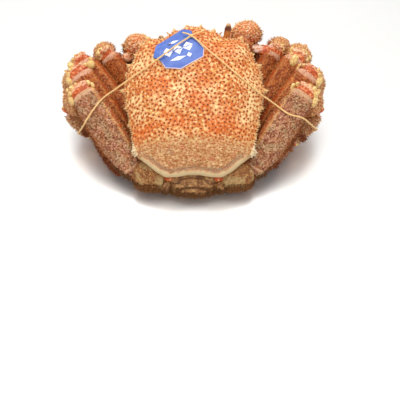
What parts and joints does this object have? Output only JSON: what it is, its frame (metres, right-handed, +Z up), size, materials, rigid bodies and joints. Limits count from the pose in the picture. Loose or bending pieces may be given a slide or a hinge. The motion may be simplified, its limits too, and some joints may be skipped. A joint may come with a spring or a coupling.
{
  "type": "hairy crab",
  "caption": "Whole boiled hairy crab with bristly legs and claws folded under the body, tied with string that holds a small blue paper tag.",
  "frame": {"origin": "under the middle of the crab, on the plane it rests on", "axes": "+Z up, +Y towards the crab's face, +X towards its right-hand side seen from behind"},
  "size_m": [0.2174, 0.1447, 0.0921],
  "materials": {
    "shell": "granular boiled shell, pale orange with dark bristle dots, low sheen",
    "limb": "hairy boiled limb shell, tan to brown pink, low sheen",
    "claw": "granular boiled claw shell, cream and orange, low sheen",
    "belly": "smooth hairy underside, cream to tan",
    "finger": "dark horny finger",
    "eye": "dark brown eye on a short stalk",
    "tag": "blue coated paper with plain white shapes",
    "string": "pale cream cotton string"
  },
  "bodies": {
    "root": {"shell": "shell", "underbody": "belly", "eye_right": "eye", "mouthpart_right": "belly", "antenna_right": "belly", "eye_left": "eye", "mouthpart_left": "belly", "antenna_left": "belly", "tag": "tag", "tail_flap": "belly", "leg_5_merus_right": "limb", "leg_5_merus_left": "limb", "leg_4_merus_right": "limb", "leg_4_merus_left": "limb", "leg_3_merus_right": "limb", "leg_3_merus_left": "limb", "leg_2_merus_right": "limb", "leg_2_merus_left": "limb", "leg_5_carpus_right": "limb", "leg_5_carpus_left": "limb", "leg_4_carpus_right": "limb", "leg_4_carpus_left": "limb", "leg_3_carpus_right": "limb", "leg_3_carpus_left": "limb", "leg_2_carpus_right": "limb", "leg_2_carpus_left": "limb", "leg_5_propodus_right": "limb", "leg_5_propodus_left": "limb", "leg_4_propodus_right": "limb", "leg_4_propodus_left": "limb", "leg_3_propodus_right": "limb", "leg_3_propodus_left": "limb", "leg_2_propodus_right": "limb", "leg_2_propodus_left": "limb", "leg_5_dactylus_right": "limb", "leg_5_dactylus_left": "limb", "leg_4_dactylus_right": "limb", "leg_4_dactylus_left": "limb", "leg_3_dactylus_right": "limb", "leg_3_dactylus_left": "limb", "leg_2_dactylus_right": "limb", "leg_2_dactylus_left": "limb", "leg_5_ischium_right": "limb", "leg_5_ischium_left": "limb", "leg_4_ischium_right": "limb", "leg_4_ischium_left": "limb", "leg_3_ischium_right": "limb", "leg_3_ischium_left": "limb", "leg_2_ischium_right": "limb", "leg_2_ischium_left": "limb", "claw_carpus_right": "claw", "claw_palm_right": "claw", "claw_finger_right": "finger", "claw_merus_right": "claw", "claw_carpus_left": "claw", "claw_palm_left": "claw", "claw_finger_left": "finger", "claw_merus_left": "claw", "string": "string"}
  },
  "joints": []
}
